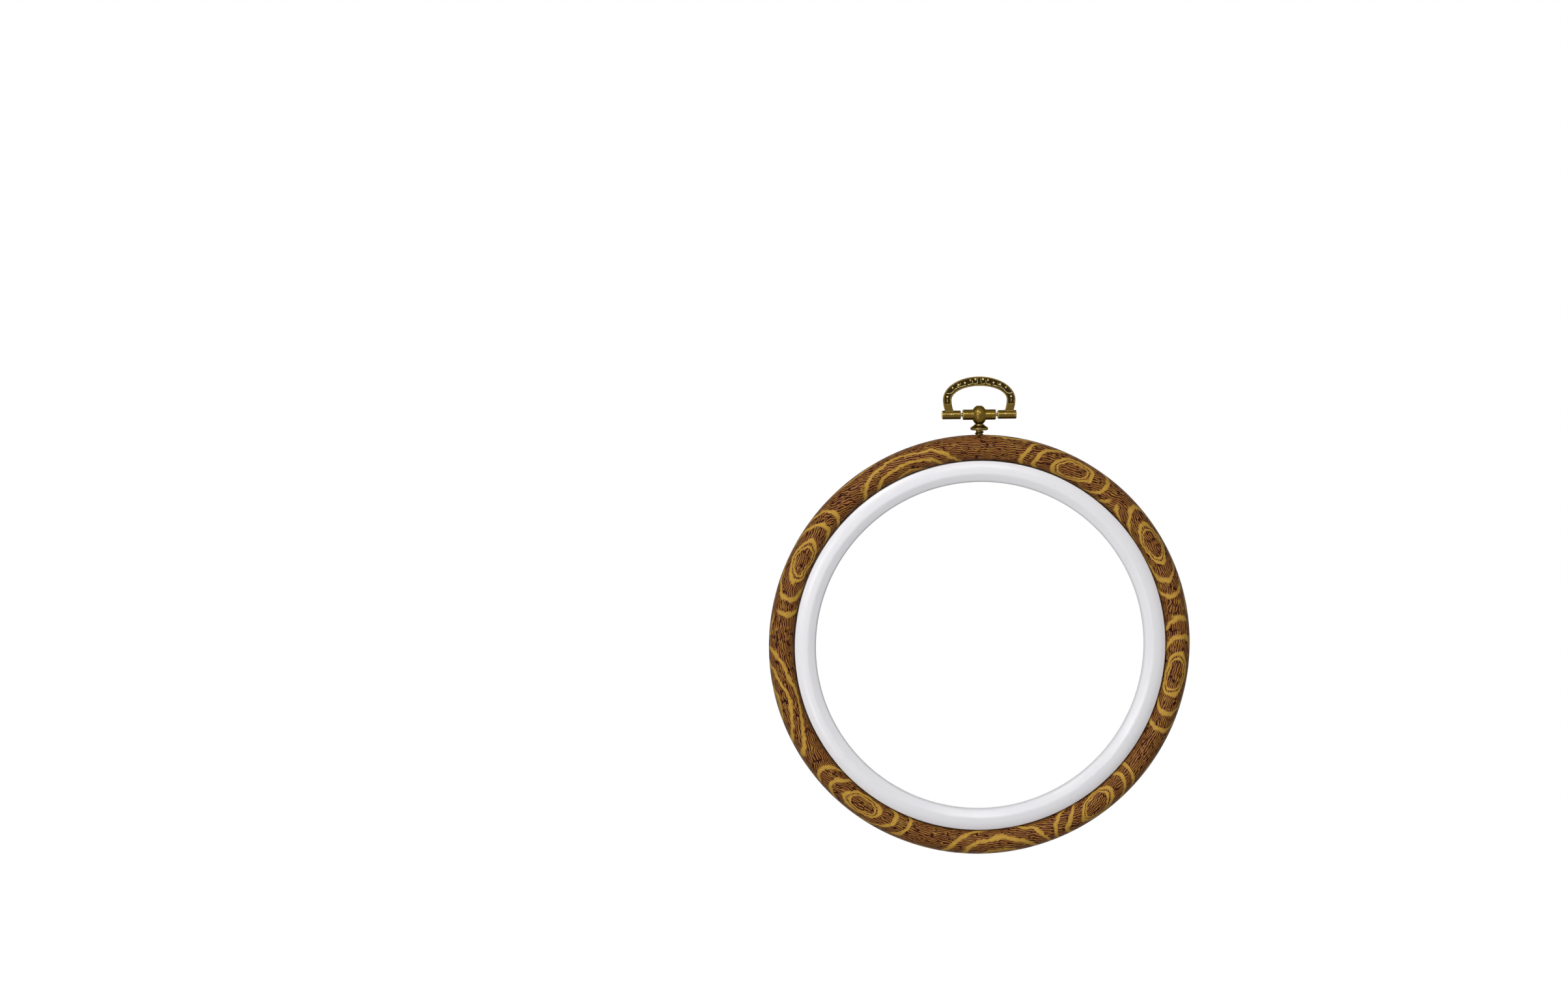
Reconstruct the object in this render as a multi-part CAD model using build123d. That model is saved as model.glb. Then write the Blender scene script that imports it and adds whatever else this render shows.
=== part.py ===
from build123d import *
import os

# Embroidery hoop that hangs by its bail. X runs across it, Y from front to back and Z up.
# The origin is the point inside the top of the bail that rests on a nail.
# Hoop sections are drawn as radius against Y, with Y zero on the line where the outer hoop is widest.
# Hanger sizes are given from the axis of the hinge pin.

# Outer hoop: a soft ring with a rounded section
outer_hoop_radius = 80.0
outer_hoop_width = 9.4
crest_from_inner_wall = 4.6
crest_depth = 5.3
inner_front_edge_depth = 1.2
back_face_depth = 5.1
back_rounding_width = 3.8

# Inner hoop: a front plate, a wall behind it and a lip that reaches behind the outer hoop
fabric_gap = 0.3
front_plate_width = 8.0
ridge_from_bore = 3.3
ridge_depth = 4.6
ridge_rounding = 2.0
plate_outer_edge_depth = 3.4
plate_bore_edge_depth = 3.2
bore_edge_rounding = 1.2
bore_land_length = 3.2
hoop_wall = 2.6
lip_reach = 3.3
lip_thickness = 1.4
lip_gap = 0.2
moulded_edge_radius = 0.4

# Ball with its two barrels
ball_radius = 2.875
ball_top_height = 3.35
ball_top_flat_radius = 1.05
ball_bottom_height = 3.35
ball_bottom_flat_radius = 1.6
ball_barrel_radius = 1.95
ball_barrels_width = 12.5

# Hinge pin
pin_radius = 0.65
pin_end_inset = 0.1
pin_running_gap = 0.05
pin_seat_gap = 0.02

# Swivel: the head of the screw turns in a chamber inside the ball
neck_post_radius = 0.95
neck_head_radius = 1.6
neck_head_height = 0.85
ball_floor_thickness = 1.2
swivel_side_gap = 0.08
swivel_play = 0.05

# Screw
shoulder_radius = 1.45
shoulder_height = 0.3
collar_boss_radius = 1.9
collar_boss_height = 0.3
collar_radius = 3.35
collar_height = 2.1
collar_rim_height = 0.9
collar_rim_rounding = 0.35
shank_core_radius = 1.25
shank_visible_length = 1.75
shank_buried_length = 7.0
shank_tip_length = 1.3
shank_tip_radius = 0.25
pilot_gap = 0.02
thread_pitch = 1.12
thread_height = 0.47
thread_root_width = 0.84
thread_crest_width = 0.12
thread_root_sink = 0.15

# Bail: a flat strip bent to a D, with a barrel at each foot
bail_thickness = 1.8
bail_widest_height = 5.65
bail_inner_half_width = 10.5
bail_inner_rise = 5.24
bail_side_width = 3.14
bail_top_width = 3.49
bail_foot_height = 1.7
bail_foot_draw_in = 0.7
bail_edge_radius = 0.3
bail_barrel_radius = 1.65
bail_barrel_overhang = 1.11
barrel_gap = 0.7
barrel_edge_radius = 0.22
panel_border = 0.55
panel_depth = 0.35
panel_step_height = 4.2

cut_overrun = 1.0

# Sizes and places that follow from those above
outer_hoop_inner_radius = outer_hoop_radius - outer_hoop_width
crest_radius = outer_hoop_inner_radius + crest_from_inner_wall
inner_hoop_wall_radius = outer_hoop_inner_radius - fabric_gap
bore_radius = inner_hoop_wall_radius - front_plate_width
recess_radius = inner_hoop_wall_radius - hoop_wall
lip_front = back_face_depth + lip_gap

shoulder_top = -ball_bottom_height - swivel_play
collar_top = shoulder_top - shoulder_height
collar_bottom = collar_top - collar_height
hoop_top = collar_bottom - shank_visible_length
shank_bottom = hoop_top - shank_buried_length

bail_inner_top = bail_widest_height + bail_inner_rise
bail_barrel_inner_end = ball_barrels_width / 2 + barrel_gap
bail_foot_outer_edge = bail_inner_half_width + bail_side_width - bail_foot_draw_in
bail_barrel_outer_end = bail_foot_outer_edge + bail_barrel_overhang

hinge_place = Pos(0, 0, -bail_inner_top)
hoop_place = hinge_place * Pos(0, 0, hoop_top - outer_hoop_radius)


def ring(outline):
    """Turn a section drawn as radius against Y into a ring that stands upright."""
    return revolve(make_face(outline), axis=Axis.Y)


def turned(outline):
    """Turn a section drawn as radius against height into a solid about the Z axis."""
    return revolve(Plane.XZ * make_face(outline), axis=Axis.Z)


def post(radius, bottom, top):
    """An upright cylinder between two heights."""
    return Pos(0, 0, bottom) * Cylinder(radius, top - bottom, align=(Align.CENTER, Align.CENTER, Align.MIN))


def barrel(radius, left, right, edge_radius):
    """A round-edged cylinder along X between two places."""
    body = Cylinder(radius, right - left)
    body = fillet(body.edges().filter_by(GeomType.CIRCLE), edge_radius)
    return Pos((left + right) / 2, 0, 0) * Rot(0, 90, 0) * body


def cross_bore(radius, width):
    """The cut for a pin along X that runs past both ends."""
    return Rot(0, 90, 0) * Cylinder(radius, width + 2 * cut_overrun)


def make_outer_hoop():
    """Rounded in front and outside, flat where it meets the inner hoop and at the back."""
    inner_front = (outer_hoop_inner_radius, -inner_front_edge_depth)
    inner_back = (outer_hoop_inner_radius, back_face_depth)
    rounding_start = outer_hoop_radius - back_rounding_width
    outline = [
        Polyline(inner_front, inner_back, (rounding_start, back_face_depth)),
        EllipticalCenterArc((rounding_start, 0), back_rounding_width, back_face_depth, 0, arc_size=90),
        EllipticalCenterArc((crest_radius, 0), outer_hoop_radius - crest_radius, crest_depth, 270, arc_size=90),
        EllipticalCenterArc(
            (crest_radius, -inner_front_edge_depth),
            crest_from_inner_wall,
            crest_depth - inner_front_edge_depth,
            180,
            arc_size=90,
        ),
    ]
    hoop = hoop_place * ring(outline)
    pilot_radius = shank_core_radius + pilot_gap
    pilot = hinge_place * post(pilot_radius, shank_bottom, hoop_top + cut_overrun)
    return hoop - pilot


def make_inner_hoop():
    """A front plate with a ridge, a wall that the outer hoop grips and a lip at the back."""
    plate_back = bore_land_length - plate_bore_edge_depth
    lip_back = lip_front + lip_thickness
    lip_radius = inner_hoop_wall_radius + lip_reach
    ridge_radius = bore_radius + ridge_from_bore
    corners = {
        (bore_radius, -plate_bore_edge_depth): bore_edge_rounding,
        (bore_radius, plate_back): moulded_edge_radius,
        (recess_radius, plate_back): moulded_edge_radius,
        (recess_radius, lip_back): moulded_edge_radius,
        (lip_radius, lip_back): moulded_edge_radius,
        (lip_radius, lip_front): moulded_edge_radius,
        (inner_hoop_wall_radius, lip_front): moulded_edge_radius,
        (inner_hoop_wall_radius, -plate_outer_edge_depth): moulded_edge_radius,
        (ridge_radius, -ridge_depth): ridge_rounding,
    }
    outline = FilletPolyline(*corners, radius=list(corners.values()), close=True)
    return hoop_place * ring(outline)


def make_thread(bottom, top):
    """A right-hand helical ridge on the screw's core."""
    path = Helix(pitch=thread_pitch, height=top - bottom, radius=shank_core_radius)
    ridge = make_face(
        Polyline(
            (-thread_root_sink, -thread_root_width / 2),
            (0, -thread_root_width / 2),
            (thread_height, -thread_crest_width / 2),
            (thread_height, thread_crest_width / 2),
            (0, thread_root_width / 2),
            (-thread_root_sink, thread_root_width / 2),
            close=True,
        )
    )
    start = Plane(origin=path.position_at(0), x_dir=(1, 0, 0), z_dir=path.tangent_at(0))
    return Pos(0, 0, bottom) * sweep(start * ridge, path=path, is_frenet=True)


def make_hanger_screw():
    """Threaded shank, flared collar, shoulder, and the neck and head that the ball turns on."""
    rim_top = collar_bottom + collar_rim_height
    boss_bottom = collar_top - collar_boss_height
    tip_top = shank_bottom + shank_tip_length
    head_bottom = shoulder_top + ball_floor_thickness + 2 * swivel_play
    head_top = head_bottom + neck_head_height
    outline = Polyline(
        (0, head_top),
        (neck_head_radius, head_top),
        (neck_head_radius, head_bottom),
        (neck_post_radius, head_bottom),
        (neck_post_radius, shoulder_top),
        (shoulder_radius, shoulder_top),
        (shoulder_radius, collar_top),
        (collar_boss_radius, collar_top),
        (collar_boss_radius, boss_bottom),
        (collar_radius, rim_top),
        (collar_radius, collar_bottom),
        (shank_core_radius, collar_bottom),
        (shank_core_radius, tip_top),
        (shank_tip_radius, shank_bottom),
        (0, shank_bottom),
        close=True,
    )
    body = turned(outline)
    rim = [e for e in body.edges().filter_by(GeomType.CIRCLE) if e.radius > collar_boss_radius + collar_rim_rounding]
    body = fillet(rim, collar_rim_rounding)
    thread = make_thread(tip_top, collar_bottom - thread_root_width)
    return hinge_place * (body + thread)


def make_swivel_ball():
    """A ball flattened above and below, two barrels for the pin, and a chamber for the screw's head."""
    widest = (ball_radius, 0)
    top_edge = (ball_top_flat_radius, ball_top_height)
    bottom_edge = (ball_bottom_flat_radius, -ball_bottom_height)
    outline = [
        TangentArc(widest, top_edge, tangent=(0, 1)),
        TangentArc(widest, bottom_edge, tangent=(0, -1)),
        Polyline(top_edge, (0, ball_top_height), (0, -ball_bottom_height), bottom_edge),
    ]
    half_width = ball_barrels_width / 2
    body = turned(outline)
    body = body + barrel(ball_barrel_radius, -half_width, half_width, barrel_edge_radius)

    floor_top = ball_floor_thickness - ball_bottom_height
    chamber_height = neck_head_height + 2 * swivel_play
    post_bore = post(neck_post_radius + swivel_side_gap, -ball_bottom_height - cut_overrun, floor_top)
    chamber = post(neck_head_radius + swivel_side_gap, floor_top, floor_top + chamber_height)
    body = body - cross_bore(pin_radius + pin_running_gap, ball_barrels_width)
    return hinge_place * (body - (post_bore + chamber))


def bail_outline(side):
    """One side of the bail's outline: the outer and inner edges of its leg, from foot to widest point."""
    edges = []
    for half_width in (bail_inner_half_width, bail_inner_half_width + bail_side_width):
        widest = (side * half_width, bail_widest_height)
        foot_x = side * (half_width - bail_foot_draw_in)
        edges.append(TangentArc(widest, (foot_x, bail_foot_height), tangent=(0, -1)))
        edges.append(Line((foot_x, bail_foot_height), (foot_x, 0)))
    inner_foot = side * (bail_inner_half_width - bail_foot_draw_in)
    edges.append(Line((inner_foot, 0), (inner_foot + side * bail_side_width, 0)))
    return edges


def arch(half_width, rise):
    """The upper half of an ellipse over the bail's widest line."""
    return EllipticalCenterArc((0, bail_widest_height), half_width, rise, 0, arc_size=180)


def make_panel():
    """The sunk panel in the front of the strip, from one step to the other."""
    outer_half = bail_inner_half_width + bail_side_width - panel_border
    outer_rise = bail_inner_rise + bail_top_width - panel_border
    inner_half = bail_inner_half_width + panel_border
    inner_rise = bail_inner_rise + panel_border
    outline = [arch(outer_half, outer_rise), arch(inner_half, inner_rise)]
    for side in (-1, 1):
        outline.append(
            Polyline(
                (side * outer_half, bail_widest_height),
                (side * outer_half, panel_step_height),
                (side * inner_half, panel_step_height),
                (side * inner_half, bail_widest_height),
            )
        )
    face = Plane.XZ * make_face(outline)
    panel_floor = -bail_thickness / 2 + panel_depth
    return Pos(0, panel_floor, 0) * extrude(face, amount=panel_depth + cut_overrun)


def make_bail():
    """The D-shaped strip with its sunk panel and the two end barrels of the hinge."""
    outline = bail_outline(-1) + bail_outline(1) + [
        arch(bail_inner_half_width, bail_inner_rise),
        arch(bail_inner_half_width + bail_side_width, bail_inner_rise + bail_top_width),
    ]
    strip = extrude(Plane.XZ * make_face(outline), amount=bail_thickness / 2, both=True)
    rims = [e for e in strip.edges() if abs(abs(e.center().Y) - bail_thickness / 2) < bail_edge_radius]
    rims = [e for e in rims if e.center().Z > bail_edge_radius]
    strip = fillet(rims, bail_edge_radius)
    body = strip - make_panel()
    for left, right in (
        (-bail_barrel_outer_end, -bail_barrel_inner_end),
        (bail_barrel_inner_end, bail_barrel_outer_end),
    ):
        body = body + barrel(bail_barrel_radius, left, right, barrel_edge_radius)
    return hinge_place * (body - cross_bore(pin_radius + pin_seat_gap, 2 * bail_barrel_outer_end))


def make_hinge_pin():
    """A straight pin through all four barrels, a little short of their outer ends."""
    reach = bail_barrel_outer_end - pin_end_inset
    return hinge_place * barrel(pin_radius, -reach, reach, pin_end_inset)


os.makedirs("parts", exist_ok=True)
pieces = {
    "outer_hoop": make_outer_hoop(),
    "inner_hoop": make_inner_hoop(),
    "hanger_screw": make_hanger_screw(),
    "swivel_ball": make_swivel_ball(),
    "bail": make_bail(),
    "hinge_pin": make_hinge_pin(),
}
for name, piece in pieces.items():
    export_step(piece, f"parts/{name}.step")
    box = piece.bounding_box()
    print(f"{name}: {len(piece.solids())} solid, {piece.volume:.1f} mm3, Z {box.min.Z:.2f} to {box.max.Z:.2f}")
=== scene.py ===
"""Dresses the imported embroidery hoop: printed vinyl outer hoop, white inner hoop and brass hanger."""
import math

import bmesh
import bpy
from mathutils import Matrix, Quaternion, Vector


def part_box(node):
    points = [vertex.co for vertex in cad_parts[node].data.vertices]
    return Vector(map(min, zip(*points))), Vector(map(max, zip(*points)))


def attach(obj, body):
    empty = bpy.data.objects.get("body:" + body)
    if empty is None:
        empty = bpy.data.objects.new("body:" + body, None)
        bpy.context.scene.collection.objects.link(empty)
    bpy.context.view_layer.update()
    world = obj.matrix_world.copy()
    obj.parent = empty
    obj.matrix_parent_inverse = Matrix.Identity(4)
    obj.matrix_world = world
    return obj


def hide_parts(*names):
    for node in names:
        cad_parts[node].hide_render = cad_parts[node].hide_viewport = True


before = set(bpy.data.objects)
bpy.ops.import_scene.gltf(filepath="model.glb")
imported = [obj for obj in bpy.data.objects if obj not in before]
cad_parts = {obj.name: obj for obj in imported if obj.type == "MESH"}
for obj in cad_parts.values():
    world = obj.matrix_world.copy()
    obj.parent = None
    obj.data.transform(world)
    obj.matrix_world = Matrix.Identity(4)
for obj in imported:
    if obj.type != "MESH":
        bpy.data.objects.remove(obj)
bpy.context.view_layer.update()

bl_info = {
    "name": "Embroidery Hoop",
    "version": (1, 0, 0),
    "blender": (4, 5, 0),
    "location": "View3D > Sidebar > Hoop",
    "description": "Makes the visible pieces and finishes of a stretch hoop that hangs by its bail",
    "category": "Object",
}

# Sections and outlines are written in millimetres and set in metres when a piece is finished.
MM = 0.001
FULL_TURN = 2 * math.pi
WHITE = (1.0, 1.0, 1.0, 1.0)

# Outer hoop section: radius against depth, with depth zero where the hoop is widest
OUTER_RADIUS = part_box("outer_hoop")[1].x / MM
HOOP_CENTRE_Z = (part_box("outer_hoop")[0].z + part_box("outer_hoop")[1].z) / 2 / MM
HOOP_WIDTH = 9.4
CREST_FROM_WALL = 4.6
CREST_DEPTH = 5.3
FRONT_EDGE_DEPTH = 1.2
BACK_DEPTH = 5.1
BACK_ROUNDING = 3.8
BACK_CORNER = 0.3
SECTION_STEPS = 64
RING_STEPS = 640
CORNER_STEPS = 6
CREST_RADIUS = OUTER_RADIUS - HOOP_WIDTH + CREST_FROM_WALL

# Inner hoop section: radius, depth and rounding of each corner
INNER_HOOP_CORNERS = (
    (62.3, -3.2, 1.2),
    (62.3, 0.0, 0.4),
    (67.7, 0.0, 0.4),
    (67.7, 6.7, 0.4),
    (73.6, 6.7, 0.4),
    (73.6, 5.3, 0.4),
    (70.3, 5.3, 0.4),
    (70.3, -3.4, 0.35),
    (68.4, -4.3, 7.0),
    (65.6, -4.6, 2.0),
)

# Hanger heights are from the hinge pin's axis
PIN_AXIS_Z = (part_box("hinge_pin")[0].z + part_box("hinge_pin")[1].z) / 2 / MM
SCREW_CORNERS = (
    (0.0, -1.25, 0.0),
    (1.6, -1.25, 0.1),
    (1.6, -2.1, 0.05),
    (0.95, -2.1, 0.0),
    (0.95, -3.4, 0.05),
    (1.45, -3.4, 0.12),
    (1.45, -3.7, 0.08),
    (1.9, -3.7, 0.12),
    (2.0, -4.0, 0.3),
    (3.35, -4.9, 0.35),
    (3.35, -5.8, 0.4),
    (1.25, -5.8, 0.1),
    (1.25, -13.25, 0.0),
    (0.25, -14.55, 0.1),
    (0.0, -14.55, 0.0),
)
THREAD_RADIUS = 1.25
THREAD_PITCH = 1.12
THREAD_TOP = -6.2
THREAD_BOTTOM = -13.25
THREAD_STEPS_PER_TURN = 40
# Section of the thread's ridge: outwards from the core's surface, and up from the ridge's middle
THREAD_SECTION = (
    (-0.2, -0.42),
    (0, -0.42),
    (0.44, -0.08),
    (0.47, 0),
    (0.44, 0.08),
    (0, 0.42),
    (-0.2, 0.42),
)
HANGER_STEPS = 96

BALL_RADIUS = 2.875
BALL_HEIGHT = 3.35
BALL_TOP_FLAT = 1.05
BALL_BOTTOM_FLAT = 1.6
NECK_BORE = 1.08
CHAMBER_RADIUS = 1.74
CHAMBER_BOTTOM = -2.2
CHAMBER_TOP = -1.15
BALL_CURVE_STEPS = 24
BALL_BARREL_RADIUS = 1.95
BALL_BARREL_START = 1.9
BALL_BARREL_END = 6.25
BALL_PIN_BORE = 0.7
BALL_VOXEL = 0.085
BARREL_EDGE = 0.28
BARREL_STEPS = 64

BAIL_HALF_THICKNESS = 0.9
BAIL_WIDEST_Z = 5.65
BAIL_INNER_HALF = 10.5
BAIL_INNER_RISE = 5.24
BAIL_SIDE_WIDTH = 3.14
BAIL_TOP_WIDTH = 3.49
BAIL_FOOT_DRAW = 0.7
BAIL_FOOT_Z = 1.7
BAIL_BARREL_RADIUS = 1.65
BAIL_BARREL_INNER = 6.95
BAIL_BARREL_OUTER = 14.05
BAIL_PIN_BORE = 0.67
BAIL_VOXEL = 0.095
BAIL_CURVE_STEPS = 64
PANEL_STEP_Z = 4.2
PANEL_BORDER = 0.5
PANEL_WALL = 0.08
PANEL_DEPTH = 0.38
PANEL_Y = -BAIL_HALF_THICKNESS + PANEL_DEPTH
# Heights of the rows down each leg of the bail, from under the widest place to the pin
LEG_HEIGHTS = (4.95, PANEL_STEP_Z - PANEL_BORDER - PANEL_WALL, 2.6, BAIL_FOOT_Z, 0.0)

# Dots on the bail: half distance between the pair, height and radius
BAIL_DOTS = (
    (12.05, 6.85, 0.52),
    (10.05, 10.2, 0.44),
    (7.9, 11.4, 0.52),
    (5.4, 12.05, 0.52),
    (3.3, 13.0, 0.44),
    (1.45, 13.35, 0.52),
)
DOT_FLATNESS = 0.9
# Upright bar at the foot of each side's panel
BAR_X = 12.05
BAR_Z = 5.4
BAR_SIZE = (0.26, 0.5, 1.2)

# Scrolls of the bail's right half: X and height of each point, then the line's radius
SCROLLS = (
    (
        (
            (12.8, 8.5),
            (12.0, 8.0),
            (10.9, 8.0),
            (10.0, 8.6),
            (9.2, 9.7),
            (7.9, 10.4),
            (6.4, 10.85),
            (5.0, 11.2),
        ),
        0.15,
    ),
    (((7.0, 12.1), (7.1, 11.5), (7.6, 11.0), (8.5, 10.6)), 0.13),
    (((2.55, 13.0), (2.5, 12.2), (2.7, 11.7), (3.4, 11.5), (4.4, 11.35)), 0.14),
    (((0.65, 13.7), (0.62, 12.4), (0.75, 11.75), (1.5, 11.6), (2.2, 11.85)), 0.14),
)
SCROLL_SINK = 0.05

# Studio, in metres: each lamp's place and size, with the setting that holds its power
FLOOR_Z = -1.35
BACKDROP_Y = 1.6
BACKDROP_Z = 2.0
STAGE_SIZE = 8.0
LAMPS = (
    ("key_lamp", "key_power", (-0.55, -0.95, 0.8), 0.42),
    ("fill_lamp", "fill_power", (0.16, -1.15, 0.6), 0.28),
    ("low_lamp", "low_power", (-0.42, -1.1, -0.48), 0.16),
    ("side_lamp", "side_power", (-0.62, -1.15, 0.1), 0.26),
)

# Photograph: its size, where the hoop's middle is in it, and its scale there
IMAGE_WIDTH = 2408
IMAGE_HEIGHT = 1531
HOOP_AT = (1504.3, 990.75)
PIXELS_PER_METRE = 4051.0
SENSOR_WIDTH = 36.0


def srgb(red, green, blue):
    """A colour written as 0 to 255, as the linear values that Blender keeps."""
    values = []
    for level in (red, green, blue):
        level = level / 255
        values.append(level / 12.92 if level <= 0.04045 else ((level + 0.055) / 1.055) ** 2.4)
    return (*values, 1.0)


class Wire:
    """One output of a shader node. Arithmetic on it adds Math nodes."""

    def __init__(self, shader, socket):
        self.shader = shader
        self.socket = socket

    def math(self, operation, *others):
        return self.shader.add("Math", {"operation": operation}, (self, *others))

    def __add__(self, other):
        return self.math("ADD", other)

    def __sub__(self, other):
        return self.math("SUBTRACT", other)

    def __rsub__(self, other):
        return self.shader.add("Math", {"operation": "SUBTRACT"}, (other, self))

    def __mul__(self, other):
        return self.math("MULTIPLY", other)

    def __truediv__(self, other):
        return self.math("DIVIDE", other)

    __radd__ = __add__
    __rmul__ = __mul__


class Shader:
    """The nodes of one material or world, and the one way in which they are added."""

    def __init__(self, name, library=None):
        self.owner = (bpy.data.materials if library is None else library).new(name)
        self.owner.use_nodes = True
        self.tree = self.owner.node_tree
        self.tree.nodes.clear()

    def add(self, kind, settings=None, sockets=(), out=0):
        """Add a node: its settings are set first, then its sockets get values or links."""
        node = self.tree.nodes.new("ShaderNode" + kind)
        for name, value in (settings or {}).items():
            if name == "stops":
                self.set_stops(node.color_ramp, value)
            elif name == "interpolation":
                node.color_ramp.interpolation = value
            else:
                setattr(node, name, value)
        pairs = sockets.items() if isinstance(sockets, dict) else enumerate(sockets)
        for name, value in pairs:
            if isinstance(value, Wire):
                self.tree.links.new(value.socket, node.inputs[name])
            else:
                node.inputs[name].default_value = value
        return Wire(self, node.outputs[out]) if node.outputs else None

    def set_stops(self, ramp, stops):
        """Set a ramp's stops, each a position with a level or a colour."""
        while len(ramp.elements) < len(stops):
            ramp.elements.new(1.0)
        for element, (position, colour) in zip(ramp.elements, stops):
            element.position = position
            element.color = colour if isinstance(colour, tuple) else (colour, colour, colour, 1.0)

    def ramp(self, value, stops, interpolation="LINEAR"):
        return self.add("ValToRGB", {"interpolation": interpolation, "stops": stops}, (value,))

    def mix(self, factor, first, second, blend="MIX"):
        settings = {"data_type": "RGBA", "blend_type": blend}
        return self.add("Mix", settings, {0: factor, 6: first, 7: second}, out=2)

    def vector(self, operation, *values, out="Vector"):
        return self.add("VectorMath", {"operation": operation}, values, out=out)

    def noise(self, vector, scale, detail=2.0, roughness=0.5, out="Fac"):
        sockets = {"Vector": vector, "Scale": scale, "Detail": detail, "Roughness": roughness}
        return self.add("TexNoise", {"noise_dimensions": "3D"}, sockets, out=out)

    def swing(self, vector, scale):
        """Noise as a vector that swings half a unit each way."""
        return self.vector("SUBTRACT", self.noise(vector, scale, 1.0, out="Color"), (0.5, 0.5, 0.5))

    def split(self, vector):
        return [self.add("SeparateXYZ", None, (vector,), out=axis) for axis in range(3)]

    def place_mm(self, centre_z):
        """Object coordinates in millimetres from a point on the Z axis."""
        place = self.add("TexCoord", out="Object")
        scaled = self.vector("MULTIPLY", place, (1 / MM, 1 / MM, 1 / MM))
        return self.vector("SUBTRACT", scaled, (0.0, 0.0, centre_z))

    def shown_white(self, dim, white):
        """The white one where camera, metal and glass look, and the dim one for all other light."""
        seen = self.add("LightPath", out="Is Camera Ray")
        seen = seen.math("MAXIMUM", self.add("LightPath", out="Is Glossy Ray"))
        seen = seen.math("MAXIMUM", self.add("LightPath", out="Is Transmission Ray"))
        return self.add("MixShader", None, (seen, dim, white))

    def finish(self, surface):
        """Show this surface, and return the material."""
        self.add("OutputMaterial", None, {"Surface": surface})
        return self.owner

    def principled(self, sockets):
        """Show one Principled surface with these socket values, and return the material."""
        return self.finish(self.add("BsdfPrincipled", None, sockets))


# Knots of the print: degrees clockwise from the top, millimetres outside the crest,
# lean in degrees, half length and half height of the unit oval in millimetres
KNOTS = (
    (27.6, -0.4, 15, 5.6, 3.1),
    (59.1, 0.7, -5, 5.8, 2.7),
    (99.0, -0.3, -3, 5.8, 3.0),
    (144.0, 0.2, 20, 5.3, 3.2),
    (175.0, 8.8, 0, 5.4, 4.2),
    (217.2, -0.6, 8, 5.4, 2.8),
    (254.7, 9.6, 0, 5.8, 3.6),
    (296.4, 0.0, -2, 5.8, 2.8),
    (338.4, -8.0, -6, 5.6, 3.2),
    (12.0, 17.0, 8, 5.5, 3.1),
    (47.0, 16.4, -6, 5.7, 3.0),
    (84.0, 17.2, 12, 5.3, 3.2),
    (121.0, 16.6, -10, 5.6, 2.9),
    (204.0, 17.0, 6, 5.7, 3.1),
    (233.0, 18.0, -14, 5.3, 3.0),
    (284.0, 16.5, 5, 5.6, 3.2),
    (322.0, 17.2, -4, 5.5, 2.9),
)
KNOT_FAR_SIDE = 20.0

# Yellow rings and arcs round a knot: distance in ovals, strength
RING_STOPS = (
    (0.00, 0.0),
    (0.92, 0.0),
    (0.99, 1.0),
    (1.06, 1.0),
    (1.13, 0.0),
    (1.20, 0.0),
    (1.29, 1.0),
    (1.46, 1.0),
    (1.56, 0.0),
    (2.42, 0.0),
    (2.54, 1.0),
    (2.70, 1.0),
    (2.82, 0.0),
    (3.50, 0.0),
    (3.62, 1.0),
    (3.76, 1.0),
    (3.88, 0.0),
)
RING_REACH = 5.0

# Lean of the printed strokes round the hoop: degrees clockwise from the top, lean in degrees
LEANS = (
    (0, -8),
    (14, 8),
    (28, 15),
    (38, 26),
    (46, 38),
    (46.6, -40),
    (53, -22),
    (59, -5),
    (70, 8),
    (74, 16),
    (74.6, -38),
    (84, -16),
    (99, -3),
    (118, 2),
    (134, 20),
    (150.5, 36),
    (151.2, -42),
    (164, -30),
    (180, 6),
    (200, 0),
    (217, 8),
    (232.5, 34),
    (233.2, -32),
    (247, -16),
    (262, 20),
    (274, 4),
    (296, -3),
    (309.8, 36),
    (310.5, -46),
    (327, -36),
    (340, -20),
    (360, -8),
)
LEAN_RANGE = 60.0
# Millimetres of print for each radian round the section
CROSS_SCALE = 5.4
# How far the rings drift, and how the strokes are drawn out, rippled, frayed and kept off the rings
KNOT_DRIFT = 3.4
STROKE_SQUEEZE = 0.56
STROKE_CELLS = 0.56
STROKE_RIPPLE = 1.3
STROKE_RAGGED = 0.34
RING_CLEARING = 0.42
# Place of the Gabor node's 3D orientation among its sockets
GABOR_AXIS = 5


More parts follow.
